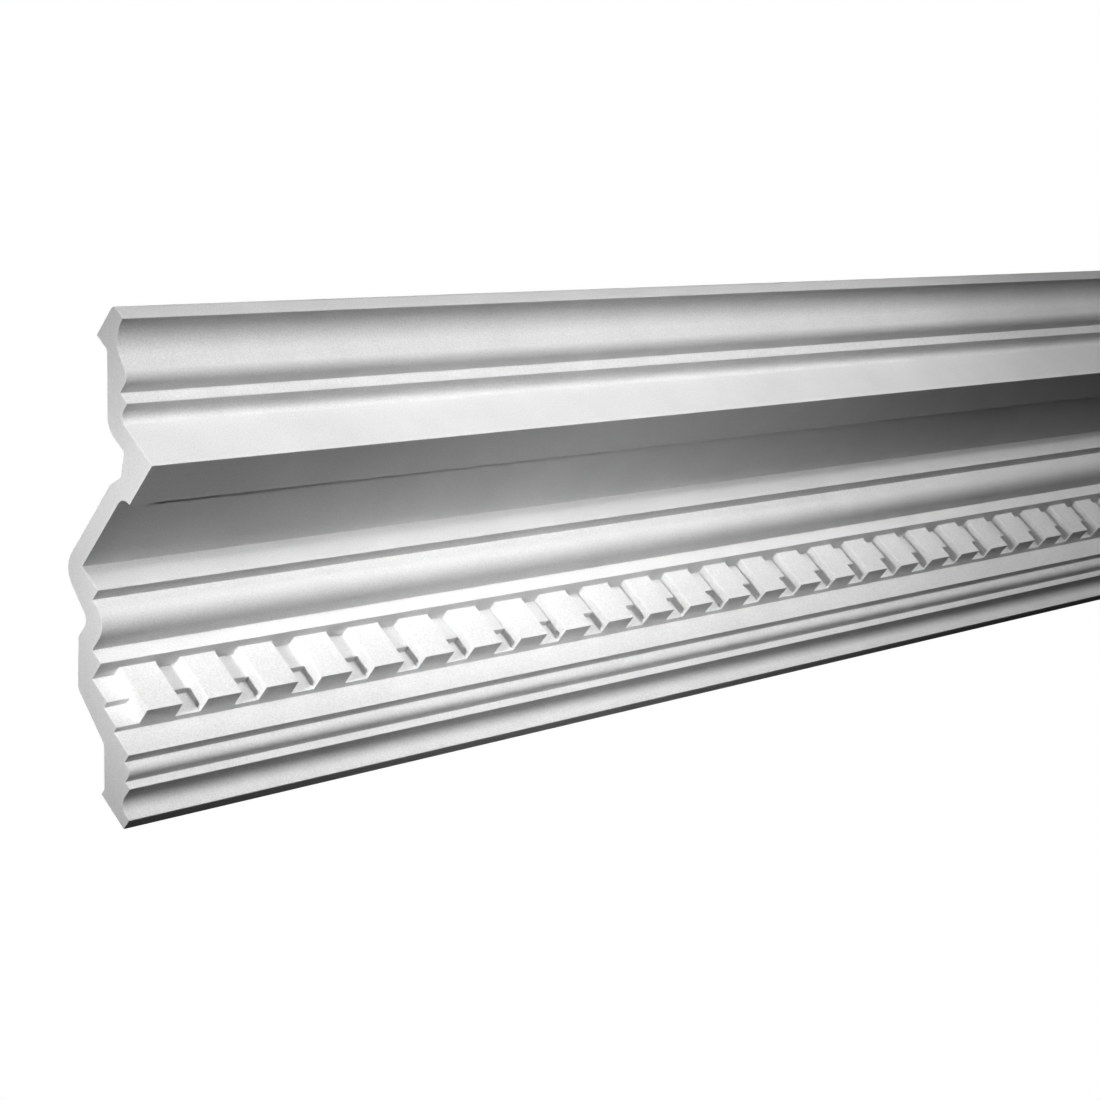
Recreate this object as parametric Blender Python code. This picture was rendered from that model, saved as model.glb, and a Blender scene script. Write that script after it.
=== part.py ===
"""Cornice moulding with dentils: one cast length, for the corner between a wall and a ceiling.

The length lies along X. The wall is the plane Y = 0, the moulding stands out from it
towards -Y, and +Z is up, with the ceiling resting on the top face. The world origin is the
centre of the face that is fixed to the wall. Sizes are in millimetres until mesh_point.
"""

import math

import bmesh
import bpy

# The length is a whole number of dentil spacings, so that two lengths meet in step.
PITCH = 36.0
DENTIL_COUNT = 28
DENTIL_WIDTH = 21.1
FIRST_DENTIL = 13.0
LENGTH = PITCH * DENTIL_COUNT

# Outer size of the profile, and the faces that meet the wall and the ceiling.
PROJECTION = 180.0
HEIGHT = 157.0
CEILING_FACE = 18.6
WALL_FACE = 21.2

# Crown: a fascia, a cyma recta under it and a fillet.
FASCIA_HEIGHT = 9.0
FASCIA_TOP_RADIUS = 2.5
CYMA_LEDGE = 11.1
CYMA_RUN = 7.0
CYMA_DROP = 19.4
CYMA_HOLLOW_RADIUS = 14.0
CYMA_ROUND_RADIUS = 6.0
CYMA_FOOT = 8.9
CROWN_FILLET = 6.8

# Corona: the tall flat face, with a hollow above it and a drip behind its lower edge.
CORONA_RUN = 9.0
CORONA_HOLLOW_RADIUS = 5.0
CORONA_HEIGHT = 29.8
CORONA_SOFFIT = 25.3
DRIP_RISE = 6.0
DRIP_RADIUS = 5.9
BACK_SOFFIT = 46.7

# Bed mouldings: a fillet, an ovolo and a fillet that covers the tops of the dentils.
BED_FILLET = 15.0
BED_LEDGE = 6.4
OVOLO_RUN = 18.2
OVOLO_DROP = 14.7
OVOLO_RADIUS = 10.8
DENTIL_HOOD = 8.3

# Dentils: blocks in front of a two-level ground, whose upper half is a raised band.
DENTIL_FRONT = 5.1
BAND_BACK = 5.5
BAND_HEIGHT = 14.4
GROUND_BACK = 3.7
DENTIL_HEIGHT = 26.5
DENTIL_LEDGE = 3.3

# Foot: a fascia, a bead, a fillet and a cove that runs out on the wall.
FOOT_FASCIA = 14.0
FOOT_LEDGE = 4.8
BEAD_RUN = 6.8
BEAD_DROP = 6.1
BEAD_RADIUS = 4.0
FOOT_FILLET = 4.4
COVE_RUN = 11.8
COVE_RADIUS = 6.0

# Hidden back: the hollow left by the core of the mould, so that the cast wall is about
# 10 mm thick. Each stretch is (further out, further up), from the wall face to the ceiling.
BACK_LIP = (3.6, 0.0)
FOOT_SLOPE = (16.1, 13.5)
DENTIL_SLOPE = (5.7, 29.6)
SHOULDER_SLOPE = (18.9, 15.0)
BED_SHELF = (11.1, 0.0)
BED_SLOPE = (6.6, 28.3)
SOFFIT_SHELF = (54.0, 0.0)
DRIP_DIP = (8.2, -3.3)
DRIP_CLIMB = (10.2, 5.5)
CORONA_BACK = (0.0, 15.1)
CROWN_SLOPE = (27.0, 22.4)
SLOPE_RADIUS = 5.0
DRIP_BACK_RADIUS = 2.0
SHELF_RADIUS = 12.0

ARC_STEP = math.radians(15)


def clear_scene():
    for obj in list(bpy.data.objects):
        bpy.data.objects.remove(obj, do_unlink=True)


class Profile:
    """A chain of corners (distance out from the wall, height), each with a radius."""

    def __init__(self, out, up, radius=0.0):
        self.corners = [(out, up, radius)]

    def step(self, inward, down, radius=0.0):
        """Adds the corner that lies this much nearer the wall and this much lower."""
        out, up, _ = self.corners[-1]
        self.corners.append((out - inward, up - down, radius))

    def climb(self, stretch, radius=0.0):
        """Adds the corner at the end of a stretch that is given as (further out, further up)."""
        self.step(-stretch[0], -stretch[1], radius)

    def at(self, out, up, radius=0.0):
        self.corners.append((out, up, radius))

    def last(self):
        out, up, _ = self.corners[-1]
        return out, up


def rounded(corners):
    """The points of a chain of corners, with an arc in place of each corner with a radius."""
    points = []
    for index, (out, up, radius) in enumerate(corners):
        if radius == 0.0 or index in (0, len(corners) - 1):
            points.append((out, up))
            continue
        before = corners[index - 1]
        after = corners[index + 1]
        heading_in = math.atan2(up - before[1], out - before[0])
        heading_out = math.atan2(after[1] - up, after[0] - out)
        turn = math.remainder(heading_out - heading_in, 2 * math.pi)
        reach = radius * math.tan(abs(turn) / 2)
        steps = max(2, math.ceil(abs(turn) / ARC_STEP))
        side = math.copysign(math.pi / 2, turn)
        centre_out = out - reach * math.cos(heading_in) + radius * math.cos(heading_in + side)
        centre_up = up - reach * math.sin(heading_in) + radius * math.sin(heading_in + side)
        for part in range(steps + 1):
            angle = heading_in - side + turn * part / steps
            points.append((centre_out + radius * math.cos(angle), centre_up + radius * math.sin(angle)))
    return points


def upper_face():
    """From the back of the ceiling face, over the crown and corona, to above the dentils."""
    path = Profile(PROJECTION - CEILING_FACE, HEIGHT)
    path.at(PROJECTION, HEIGHT, FASCIA_TOP_RADIUS)
    path.step(0, FASCIA_HEIGHT)
    path.step(CYMA_LEDGE, 0, CYMA_HOLLOW_RADIUS)
    path.step(CYMA_RUN, CYMA_DROP, CYMA_ROUND_RADIUS)
    path.step(CYMA_FOOT, 0)
    path.step(0, CROWN_FILLET)
    path.step(CORONA_RUN, 0, CORONA_HOLLOW_RADIUS)
    path.step(0, CORONA_HEIGHT)
    path.step(CORONA_SOFFIT, 0)
    path.step(0, -DRIP_RISE, DRIP_RADIUS)
    path.step(BACK_SOFFIT, 0)
    path.step(0, BED_FILLET)
    path.step(BED_LEDGE, 0)
    path.step(0, OVOLO_DROP, OVOLO_RADIUS)
    path.step(OVOLO_RUN, 0)
    path.step(0, DENTIL_HOOD)
    return path


def dentil_block(hood):
    """The front of a dentil: its top and bottom front edges, below the hood's corner."""
    out, up = hood
    front = out - DENTIL_FRONT
    return [(front, up), (front, up - DENTIL_HEIGHT)]


def dentil_ground(front):
    """Between two dentils: the raised band, the step under it and the deep ground."""
    path = Profile(*front)
    path.step(BAND_BACK, 0)
    path.step(0, BAND_HEIGHT)
    path.step(GROUND_BACK, 0)
    path.step(0, DENTIL_HEIGHT - BAND_HEIGHT)
    return [(out, up) for out, up, _ in path.corners[1:]]


def lower_face(ground_foot):
    """From the soffit behind the dentils, over the foot mouldings, up to the wall face's top."""
    path = Profile(*ground_foot)
    path.step(DENTIL_LEDGE, 0)
    path.step(0, FOOT_FASCIA)
    path.step(FOOT_LEDGE, 0)
    path.step(0, BEAD_DROP, BEAD_RADIUS)
    path.step(BEAD_RUN, 0)
    path.step(0, FOOT_FILLET)
    path.step(COVE_RUN, 0, COVE_RADIUS)
    path.at(path.last()[0], 0)
    path.at(0, 0)
    path.at(0, WALL_FACE)
    return path


def back_face():
    """The hidden side, from the top of the wall face up to the back of the ceiling face."""
    path = Profile(0, WALL_FACE)
    path.climb(BACK_LIP)
    path.climb(FOOT_SLOPE, SLOPE_RADIUS)
    path.climb(DENTIL_SLOPE, SLOPE_RADIUS)
    path.climb(SHOULDER_SLOPE)
    path.climb(BED_SHELF, SLOPE_RADIUS)
    path.climb(BED_SLOPE, SHELF_RADIUS)
    path.climb(SOFFIT_SHELF, SLOPE_RADIUS)
    path.climb(DRIP_DIP, DRIP_BACK_RADIUS)
    path.climb(DRIP_CLIMB, DRIP_BACK_RADIUS)
    path.climb(CORONA_BACK, SHELF_RADIUS)
    path.climb(CROWN_SLOPE, DRIP_BACK_RADIUS)
    path.at(PROJECTION - CEILING_FACE, HEIGHT)
    return rounded(path.corners)[1:-1]


def mesh_point(along, point):
    """A point of the profile, in metres, at a distance from the left end."""
    out, up = point
    return ((along - LENGTH / 2) / 1000, -out / 1000, (up - WALL_FACE / 2) / 1000)


def vertex_row(mesh, along, points):
    return [mesh.verts.new(mesh_point(along, point)) for point in points]


def primer_white():
    """The factory primer: an even, matt, faintly warm white."""
    material = bpy.data.materials.new("primed_casting")
    material.use_nodes = True
    shader = material.node_tree.nodes["Principled BSDF"]
    shader.inputs["Base Color"].default_value = (0.86, 0.86, 0.85, 1.0)
    shader.inputs["Roughness"].default_value = 0.75
    shader.inputs["Metallic"].default_value = 0.0
    return material


def cornice_moulding():
    upper = upper_face()
    above = rounded(upper.corners)
    block = dentil_block(upper.last())
    ground = dentil_ground(block[0])
    below = rounded(lower_face(ground[-1]).corners)[1:]
    behind = back_face()

    # The left and right ends carry every point; between them only the dentil zone is divided.
    edges = [0.0]
    for number in range(DENTIL_COUNT):
        left = FIRST_DENTIL + number * PITCH
        edges += [left, left + DENTIL_WIDTH]
    edges.append(LENGTH)

    mesh = bmesh.new()
    fixed = below + behind + above
    left_row = vertex_row(mesh, 0.0, fixed)
    right_row = vertex_row(mesh, LENGTH, fixed)
    tops = [vertex_row(mesh, along, [block[0]] + ground) for along in edges]
    fronts = [vertex_row(mesh, along, [block[1]]) for along in edges[1:-1]]

    for index in range(len(fixed) - 1):
        mesh.faces.new((left_row[index], right_row[index], right_row[index + 1], left_row[index + 1]))
    mesh.faces.new(left_row + tops[0])
    mesh.faces.new(right_row + tops[-1])
    mesh.faces.new([left_row[-1]] + [row[0] for row in tops] + [right_row[-1]])
    mesh.faces.new([left_row[0]] + [row[-1] for row in tops] + [right_row[0]])

    for index in range(0, len(edges), 2):
        here = tops[index]
        there = tops[index + 1]
        for level in range(len(here) - 1):
            mesh.faces.new((here[level], there[level], there[level + 1], here[level + 1]))
    for index in range(1, len(edges) - 1, 2):
        left_block = fronts[index - 1][0]
        right_block = fronts[index][0]
        here = tops[index]
        there = tops[index + 1]
        mesh.faces.new((here[0], there[0], right_block, left_block))
        mesh.faces.new((left_block, right_block, there[-1], here[-1]))
        mesh.faces.new(here + [left_block])
        mesh.faces.new(there + [right_block])

    bmesh.ops.recalc_face_normals(mesh, faces=mesh.faces)
    data = bpy.data.meshes.new("cornice_moulding")
    mesh.to_mesh(data)
    mesh.free()
    data.materials.append(primer_white())
    obj = bpy.data.objects.new("cornice_moulding", data)
    bpy.context.scene.collection.objects.link(obj)
    return obj


clear_scene()
cornice_moulding()
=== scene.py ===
"""The cornice moulding, dressed for its photograph: one cast length, its floor, lights and camera."""

import math

import bmesh
import bpy
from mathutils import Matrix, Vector


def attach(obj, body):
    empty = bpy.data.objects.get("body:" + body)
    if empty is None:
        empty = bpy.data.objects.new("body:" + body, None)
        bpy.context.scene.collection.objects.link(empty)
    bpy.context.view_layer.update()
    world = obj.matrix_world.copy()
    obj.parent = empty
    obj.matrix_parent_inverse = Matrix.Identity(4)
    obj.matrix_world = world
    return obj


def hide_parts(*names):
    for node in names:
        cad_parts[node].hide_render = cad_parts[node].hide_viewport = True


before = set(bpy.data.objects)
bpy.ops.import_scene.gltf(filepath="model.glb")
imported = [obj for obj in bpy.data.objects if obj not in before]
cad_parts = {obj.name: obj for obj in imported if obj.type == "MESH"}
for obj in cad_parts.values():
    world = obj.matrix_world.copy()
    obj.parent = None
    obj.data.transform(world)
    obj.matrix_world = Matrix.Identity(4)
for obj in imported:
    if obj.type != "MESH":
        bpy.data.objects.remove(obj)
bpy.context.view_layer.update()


# The casting. The whole length is one piece of rigid polyurethane, poured in a mould, and
# all its members, dentils too, come out of the mould together. Its ends are sawn square.
# It is glued and pinned to the wall by its foot, and to the ceiling by its top.
# Its sizes are in millimetres.
DENTIL_SPACING = 36.0
DENTIL_COUNT = 28
DENTIL_WIDTH = 21.1
FIRST_DENTIL = 13.0
LENGTH = DENTIL_SPACING * DENTIL_COUNT
PROJECTION = 180.0
HEIGHT = 157.0
WALL_FACE = 21.2

# Radii of the edges, and how far the chords of a curve may lie inside it.
TOP_FRONT_EDGE = 2.3
ARRIS = 0.5
INNER_CORNER = 0.4
SAWN_ARRIS = 0.25
DENTIL_ARRIS = 0.462
HOOD_CURVE = 1.1
CHORD_HEIGHT = 0.006

# Down the front: (how much nearer the wall, how much lower, radius) from the top front edge.
FRONT_OF_CROWN = (
    (0.0, 9.0, ARRIS),
    (11.1, 0.0, 14.0),
    (7.0, 19.4, 6.0),
    (8.9, 0.0, INNER_CORNER),
    (0.0, 6.8, ARRIS),
    (9.0, 0.0, 5.0),
    (0.0, 29.8, ARRIS),
    (25.3, 0.0, ARRIS),
    (0.0, -6.0, 5.3),
)
FRONT_OF_BED = (
    (46.7, 0.0, INNER_CORNER),
    (0.0, 15.0, ARRIS),
    (6.4, 0.0, INNER_CORNER),
    (0.0, 14.7, 10.8),
    (18.2, 0.0, INNER_CORNER),
    (0.0, 8.3, ARRIS),
    (5.1, 0.0, 0.0),
)
FRONT_OF_FOOT = (
    (3.3, 0.0, INNER_CORNER),
    (0.0, 14.0, ARRIS),
    (4.8, 0.0, INNER_CORNER),
    (0.0, 6.1, 4.0),
    (6.8, 0.0, INNER_CORNER),
    (0.0, 4.4, ARRIS),
    (11.8, 0.0, 6.0),
    (0.0, 9.0, ARRIS),
    (6.4, 0.0, ARRIS),
)
# Up the back, which is the hollow that the core of the mould leaves: the same, climbing.
BACK_OF_CASTING = (
    (0.0, -21.2, ARRIS),
    (-3.6, 0.0, 2.0),
    (-16.1, -13.5, 5.0),
    (-5.7, -29.6, 5.0),
    (-18.9, -15.0, 1.5),
    (-11.1, 0.0, 5.0),
    (-6.6, -28.3, 12.0),
    (-54.0, 0.0, 5.0),
    (-8.2, 3.3, 2.0),
    (-10.2, -5.5, 2.0),
    (0.0, -15.1, 12.0),
    (-27.0, -22.4, 2.0),
    (0.0, -9.7, ARRIS),
)
DENTIL_HEIGHT = 26.5
BAND_BEHIND_DENTIL = 5.5
BAND_HEIGHT = 14.4
GROUND_BEHIND_BAND = 3.7


def walk(start, moves):
    """The corners that a list of moves passes, with the start in front."""
    corners = [start]
    for inward, down, radius in moves:
        out, up, _ = corners[-1]
        corners.append((out - inward, up - down, radius))
    return corners


def eased(corners):
    """The points of a chain of corners, with an arc in place of each one that has a radius."""
    points = []
    for index, (out, up, radius) in enumerate(corners):
        if radius == 0.0 or index in (0, len(corners) - 1):
            points.append((out, up))
            continue
        before = corners[index - 1]
        after = corners[index + 1]
        heading = math.atan2(up - before[1], out - before[0])
        turn = math.remainder(math.atan2(after[1] - up, after[0] - out) - heading, math.tau)
        side = math.copysign(math.pi / 2, turn)
        reach = radius * math.tan(abs(turn) / 2)
        centre_out = out - reach * math.cos(heading) + radius * math.cos(heading + side)
        centre_up = up - reach * math.sin(heading) + radius * math.sin(heading + side)
        chord = 2 * math.acos(1 - CHORD_HEIGHT / radius)
        steps = max(3, math.ceil(abs(turn) / chord))
        for step in range(steps + 1):
            angle = heading - side + turn * step / steps
            points.append((centre_out + radius * math.cos(angle), centre_up + radius * math.sin(angle)))
    return points


def casting_mesh():
    """The casting from one sawn end to the other, in metres, its dentils marked for softening."""
    crown = walk((PROJECTION, HEIGHT, TOP_FRONT_EDGE), FRONT_OF_CROWN)
    bed = walk(crown[-1], FRONT_OF_BED)
    dentil_top = bed[-1][:2]
    dentil_foot = (dentil_top[0], dentil_top[1] - DENTIL_HEIGHT)
    band = dentil_top[0] - BAND_BEHIND_DENTIL
    ground = band - GROUND_BEHIND_BAND
    between = [
        dentil_top,
        (band, dentil_top[1]),
        (band, dentil_top[1] - BAND_HEIGHT),
        (ground, dentil_top[1] - BAND_HEIGHT),
        (ground, dentil_foot[1]),
    ]
    foot = walk((*between[-1], 0.0), FRONT_OF_FOOT)
    round_the_back = walk(foot[-1], BACK_OF_CASTING)
    loop = eased(foot + round_the_back[1:] + crown + bed[1:])[1:-1]

    # Along the length: the left end, both sides of each dentil, and the right end.
    stations = [SAWN_ARRIS]
    for number in range(DENTIL_COUNT):
        left = FIRST_DENTIL + number * DENTIL_SPACING
        stations += [left, left + DENTIL_WIDTH]
    stations.append(LENGTH - SAWN_ARRIS)

    mesh = bmesh.new()

    def row(along, points):
        return [
            mesh.verts.new(((along - LENGTH / 2) / 1000, -out / 1000, (up - WALL_FACE / 2) / 1000))
            for out, up in points
        ]

    left_end = row(stations[0], loop)
    right_end = row(stations[-1], loop)
    chains = [row(along, between) for along in stations]
    toes = [row(along, [dentil_foot])[0] for along in stations[1:-1]]
    for index in range(len(loop) - 1):
        mesh.faces.new((left_end[index], right_end[index], right_end[index + 1], left_end[index + 1]))
    left_cap = mesh.faces.new(left_end + chains[0])
    right_cap = mesh.faces.new(right_end + chains[-1])
    mesh.faces.new([left_end[-1], *[chain[0] for chain in chains], right_end[-1]])
    mesh.faces.new([left_end[0], *[chain[-1] for chain in chains], right_end[0]])
    for index, (here, there) in enumerate(zip(chains, chains[1:])):
        if index % 2:
            near_toe = toes[index - 1]
            far_toe = toes[index]
            mesh.faces.new((here[0], there[0], far_toe, near_toe))
            mesh.faces.new((near_toe, far_toe, there[-1], here[-1]))
            mesh.faces.new([*here, near_toe])
            mesh.faces.new([*there, far_toe])
            continue
        for level in range(len(here) - 1):
            mesh.faces.new((here[level], there[level], there[level + 1], here[level + 1]))
    bmesh.ops.recalc_face_normals(mesh, faces=mesh.faces)

    # The mould has a wider curve where a dentil's side meets the soffit of the hood.
    soft = mesh.edges.layers.float.new("bevel_weight_edge")
    dentil_zone = {vert for chain in chains for vert in chain} | set(toes)
    under_hood = {frozenset(chain[0:2]) for chain in chains[1:-1]}
    sawn = {left_cap, right_cap}
    for edge in mesh.edges:
        if not set(edge.verts) <= dentil_zone or sawn & set(edge.link_faces):
            continue
        if edge.calc_face_angle(0.0) > math.radians(30):
            radius = HOOD_CURVE if frozenset(edge.verts) in under_hood else DENTIL_ARRIS
            edge[soft] = radius / HOOD_CURVE
    return mesh


casting = bpy.data.objects.new("cornice_casting", bpy.data.meshes.new("cornice_casting"))
bpy.context.scene.collection.objects.link(casting)
base = casting_mesh()
base.to_mesh(casting.data)
base.free()
softened = casting.modifiers.new("softened_arrises", "BEVEL")
softened.limit_method = "WEIGHT"
softened.width = HOOD_CURVE / 1000
softened.segments = 3
softened.use_clamp_overlap = True
graph = bpy.context.evaluated_depsgraph_get()
shaped = bpy.data.meshes.new_from_object(casting.evaluated_get(graph))
casting.modifiers.clear()

# At each sawn end the edge is worn round in two facets, and the cut face inside it is bare foam.
finished = bmesh.new()
finished.from_mesh(shaped)
for side in (-1, 1):
    cap = max(
        (face for face in finished.faces if face.normal.x * side > 0.99),
        key=lambda face: face.calc_center_median().x * side,
    )
    for width, depth in ((0.29, 0.71), (0.71, 0.29)):
        bmesh.ops.inset_region(
            finished,
            faces=[cap],
            thickness=SAWN_ARRIS * width / 1000,
            depth=SAWN_ARRIS * depth / 1000,
            use_even_offset=True,
        )
    cap.material_index = 1
finished.to_mesh(casting.data)
finished.free()
casting.data.shade_smooth()
shaded = casting.modifiers.new("flat_faces_stay_flat", "WEIGHTED_NORMAL")
shaded.weight = 100


class Signal:
    """A shader socket that takes part in Python arithmetic."""

    def __init__(self, tree, socket):
        self.tree = tree
        self.socket = socket

    def node(self, kind, settings=None, inputs=None, output=0):
        """Adds a node: its settings first, then the values or links of its sockets."""
        made = self.tree.nodes.new(kind)
        for name, value in (settings or {}).items():
            setattr(made, name, value)
        for name, value in (inputs or {}).items():
            if isinstance(value, Signal):
                self.tree.links.new(value.socket, made.inputs[name])
            else:
                made.inputs[name].default_value = value
        return Signal(self.tree, made.outputs[output])

    def math(self, operation, first, second):
        return self.node("ShaderNodeMath", {"operation": operation}, {0: first, 1: second})

    def __add__(self, other):
        return self.math("ADD", self, other)

    def __radd__(self, other):
        return self.math("ADD", other, self)

    def __mul__(self, other):
        return self.math("MULTIPLY", self, other)

    def __rmul__(self, other):
        return self.math("MULTIPLY", other, self)

    def blend(self, dark, light):
        """A grey between two, by this value. The node's colours are its sockets 6 and 7."""
        return self.node(
            "ShaderNodeMix",
            {"data_type": "RGBA"},
            {"Factor": self, 6: (dark, dark, dark, 1.0), 7: (light, light, light, 1.0)},
            output=2,
        )

    def into(self, shader, name):
        self.tree.links.new(self.socket, shader.inputs[name])


def new_finish(name, roughness):
    """A material, its shader, and the place on the object that its patterns are laid out by."""
    material = bpy.data.materials.new(name)
    material.use_nodes = True
    tree = material.node_tree
    shader = tree.nodes["Principled BSDF"]
    shader.inputs["Roughness"].default_value = roughness
    place = Signal(tree, tree.nodes.new("ShaderNodeTexCoord").outputs["Object"])
    return material, shader, place


def primed_skin():
    """Sprayed primer on the smooth skin of the casting: white, matt, with a fine grain."""
    material, shader, place = new_finish("primed_skin", 0.6)
    grain = place.node("ShaderNodeTexNoise", None, {"Vector": place, "Scale": 1500.0, "Detail": 2.0})
    cloud = place.node("ShaderNodeTexNoise", None, {"Vector": place, "Scale": 22.0, "Detail": 4.0})
    (grain * 0.75 + cloud * 0.25).blend(0.62, 1.0).into(shader, "Base Color")
    orange_peel = place.node("ShaderNodeTexNoise", None, {"Vector": place, "Scale": 700.0, "Detail": 2.0})
    relief = grain + orange_peel * 0.4
    place.node("ShaderNodeBump", None, {"Strength": 0.5, "Distance": 0.0001, "Height": relief}).into(
        shader, "Normal"
    )
    return material


def sawn_foam():
    """The sawn core: finely celled foam, a little greyer than the primer."""
    material, shader, place = new_finish("sawn_foam", 0.85)
    cells = place.node("ShaderNodeTexVoronoi", None, {"Vector": place, "Scale": 1900.0})
    dust = place.node("ShaderNodeTexNoise", None, {"Vector": place, "Scale": 900.0, "Detail": 4.0})
    (cells * 0.5 + dust * 0.5).blend(0.66, 0.84).into(shader, "Base Color")
    relief = cells + dust
    place.node("ShaderNodeBump", None, {"Strength": 0.3, "Distance": 0.0001, "Height": relief}).into(
        shader, "Normal"
    )
    return material


casting.data.materials.append(primed_skin())
casting.data.materials.append(sawn_foam())
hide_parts("cornice_moulding")
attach(casting, "root")


# The camera, low on the left and close, looking up along the length at the cut end.
camera = bpy.data.objects.new("camera", bpy.data.cameras.new("camera"))
bpy.context.scene.collection.objects.link(camera)
camera.location = (-1.1740, -0.7841, -0.4733)
camera.rotation_euler = [math.radians(angle) for angle in (119.10, 33.78, -36.335)]
camera.data.sensor_width = 36.0
camera.data.lens = 79.25
camera.data.clip_start = 0.01
camera.data.clip_end = 100.0
bpy.context.scene.camera = camera


# A plain pale floor well under the moulding. It sends no light up, so that the soffits keep
# their depth of shade. Its sizes, and those of all that follows, are in metres.
FLOOR_LEVEL = -1.3
FLOOR_REACH = 12.0
floor = bpy.data.objects.new("floor", bpy.data.meshes.new("floor"))
bpy.context.scene.collection.objects.link(floor)
plane = bmesh.new()
bmesh.ops.create_grid(plane, x_segments=1, y_segments=1, size=FLOOR_REACH)
plane.to_mesh(floor.data)
plane.free()
floor.location.z = FLOOR_LEVEL
floor_paint = bpy.data.materials.new("pale_floor")
floor_paint.use_nodes = True
paint_shader = floor_paint.node_tree.nodes["Principled BSDF"]
paint_shader.inputs["Base Color"].default_value = (0.8, 0.8, 0.8, 1.0)
paint_shader.inputs["Roughness"].default_value = 0.9
paint_shader.inputs["Emission Color"].default_value = (1.0, 1.0, 1.0, 1.0)
paint_shader.inputs["Emission Strength"].default_value = 0.3
floor.data.materials.append(floor_paint)
floor.visible_diffuse = False
floor.visible_glossy = False

# The white all round, which only the camera sees.
BACKDROP_RADIUS = 30.0
backdrop = bpy.data.objects.new("backdrop", bpy.data.meshes.new("backdrop"))
bpy.context.scene.collection.objects.link(backdrop)
ball = bmesh.new()
bmesh.ops.create_icosphere(ball, subdivisions=4, radius=BACKDROP_RADIUS)
ball.to_mesh(backdrop.data)
ball.free()
white = bpy.data.materials.new("backdrop_white")
white.use_nodes = True
white_shader = white.node_tree.nodes["Principled BSDF"]
white_shader.inputs["Base Color"].default_value = (0.0, 0.0, 0.0, 1.0)
white_shader.inputs["Specular IOR Level"].default_value = 0.0
white_shader.inputs["Emission Color"].default_value = (1.0, 1.0, 1.0, 1.0)
white_shader.inputs["Emission Strength"].default_value = 1.0
backdrop.data.materials.append(white)
backdrop.visible_diffuse = False
backdrop.visible_glossy = False
backdrop.visible_transmission = False
backdrop.visible_shadow = False

# The room itself is dark: all the light comes from the lamps and the windows.
world = bpy.data.worlds.new("studio")
bpy.context.scene.world = world
world.use_nodes = True
world.node_tree.nodes["Background"].inputs["Color"].default_value = (1.0, 1.0, 1.0, 1.0)
world.node_tree.nodes["Background"].inputs["Strength"].default_value = 0.0


# The lights: two small lamps low on the left, which give the dentils their crisp shadows; round
# softboxes and strips with a grid in front, two more softboxes low down for the soffits, and
# wide windows. Those behind the moulding reach only its back, its top and its right end.
def lamp_at(name, place, target, size, power, height=None, spread=180):
    """A round softbox turned to a target, or a strip where a height is given. A grid narrows it."""
    lamp = bpy.data.lights.new(name, "AREA")
    lamp.shape = "RECTANGLE" if height else "DISK"
    lamp.size = size
    if height:
        lamp.size_y = height
    lamp.spread = math.radians(spread)
    lamp.energy = power
    box = bpy.data.objects.new(name, lamp)
    bpy.context.scene.collection.objects.link(box)
    box.location = place
    box.rotation_euler = (Vector(target) - Vector(place)).to_track_quat("-Z", "Y").to_euler()
    box.visible_camera = False


def window_light(name, azimuth, elevation, strength):
    """Far and wide: the azimuth is from straight ahead of the moulding towards its right end."""
    lamp = bpy.data.lights.new(name, "SUN")
    lamp.angle = math.radians(35)
    lamp.energy = strength
    window = bpy.data.objects.new(name, lamp)
    bpy.context.scene.collection.objects.link(window)
    turn = math.radians(azimuth)
    climb = math.radians(elevation)
    towards = (math.sin(turn) * math.cos(climb), -math.cos(turn) * math.cos(climb), math.sin(climb))
    window.rotation_euler = Vector(towards).to_track_quat("Z", "Y").to_euler()


# Low on the left: one lamp for the whole length, and one for the near end.
low_left = (-1.30, -0.40, -0.105)
lamp_at("key", low_left, (0.00, -0.05, 0.055), 0.03, 0.140, spread=30)
lamp_at("key_near", low_left, (-0.42, -0.05, 0.055), 0.03, 0.103, spread=30)

# In front.
lamp_at("front", (-0.14, -1.60, -0.295), (-0.14, -0.05, 0.06), 0.78, 0.31, spread=70)
lamp_at("front_high", (-0.27, -1.60, 0.26), (-0.27, -0.05, 0.06), 0.78, 0.81, spread=70)
lamp_at("right", (0.90, -1.00, -0.25), (0.00, -0.08, 0.05), 0.50, 0.90)
lamp_at("strip", (-0.15, -0.95, -0.12), (-0.15, -0.05, 0.05), 0.90, 0.028, height=0.05, spread=18)
lamp_at("long_strip", (-0.08, -0.95, 0.06), (-0.08, -0.05, 0.055), 1.45, 0.100, height=0.05, spread=18)
lamp_at("crown_strip", (-0.24, -0.95, 0.25), (-0.24, -0.17, 0.135), 0.85, 0.058, height=0.05, spread=18)

# Low down, for the soffits.
lamp_at("from_below", (-0.08, -0.38, -0.38), (-0.08, -0.09, 0.04), 0.24, 0.048, spread=60)
lamp_at("from_floor", (-0.25, -0.60, -0.65), (-0.25, -0.08, 0.04), 0.25, 0.032, spread=25)

# The windows, from the left round to the right, and behind.
window_light("left_window", -80, -10, 1.3)
window_light("middle_window", 0, -10, 0.7)
window_light("right_window", 40, -10, 0.75)
window_light("rear_right_window", 140, 30, 1.0)
window_light("rear_window", 180, 25, 1.3)
window_light("top_window", 180, 65, 1.1)

# The photo was printed with more contrast than a plain render has. White stays white.
bpy.context.scene.view_settings.view_transform = "Standard"
bpy.context.scene.view_settings.gamma = 0.71
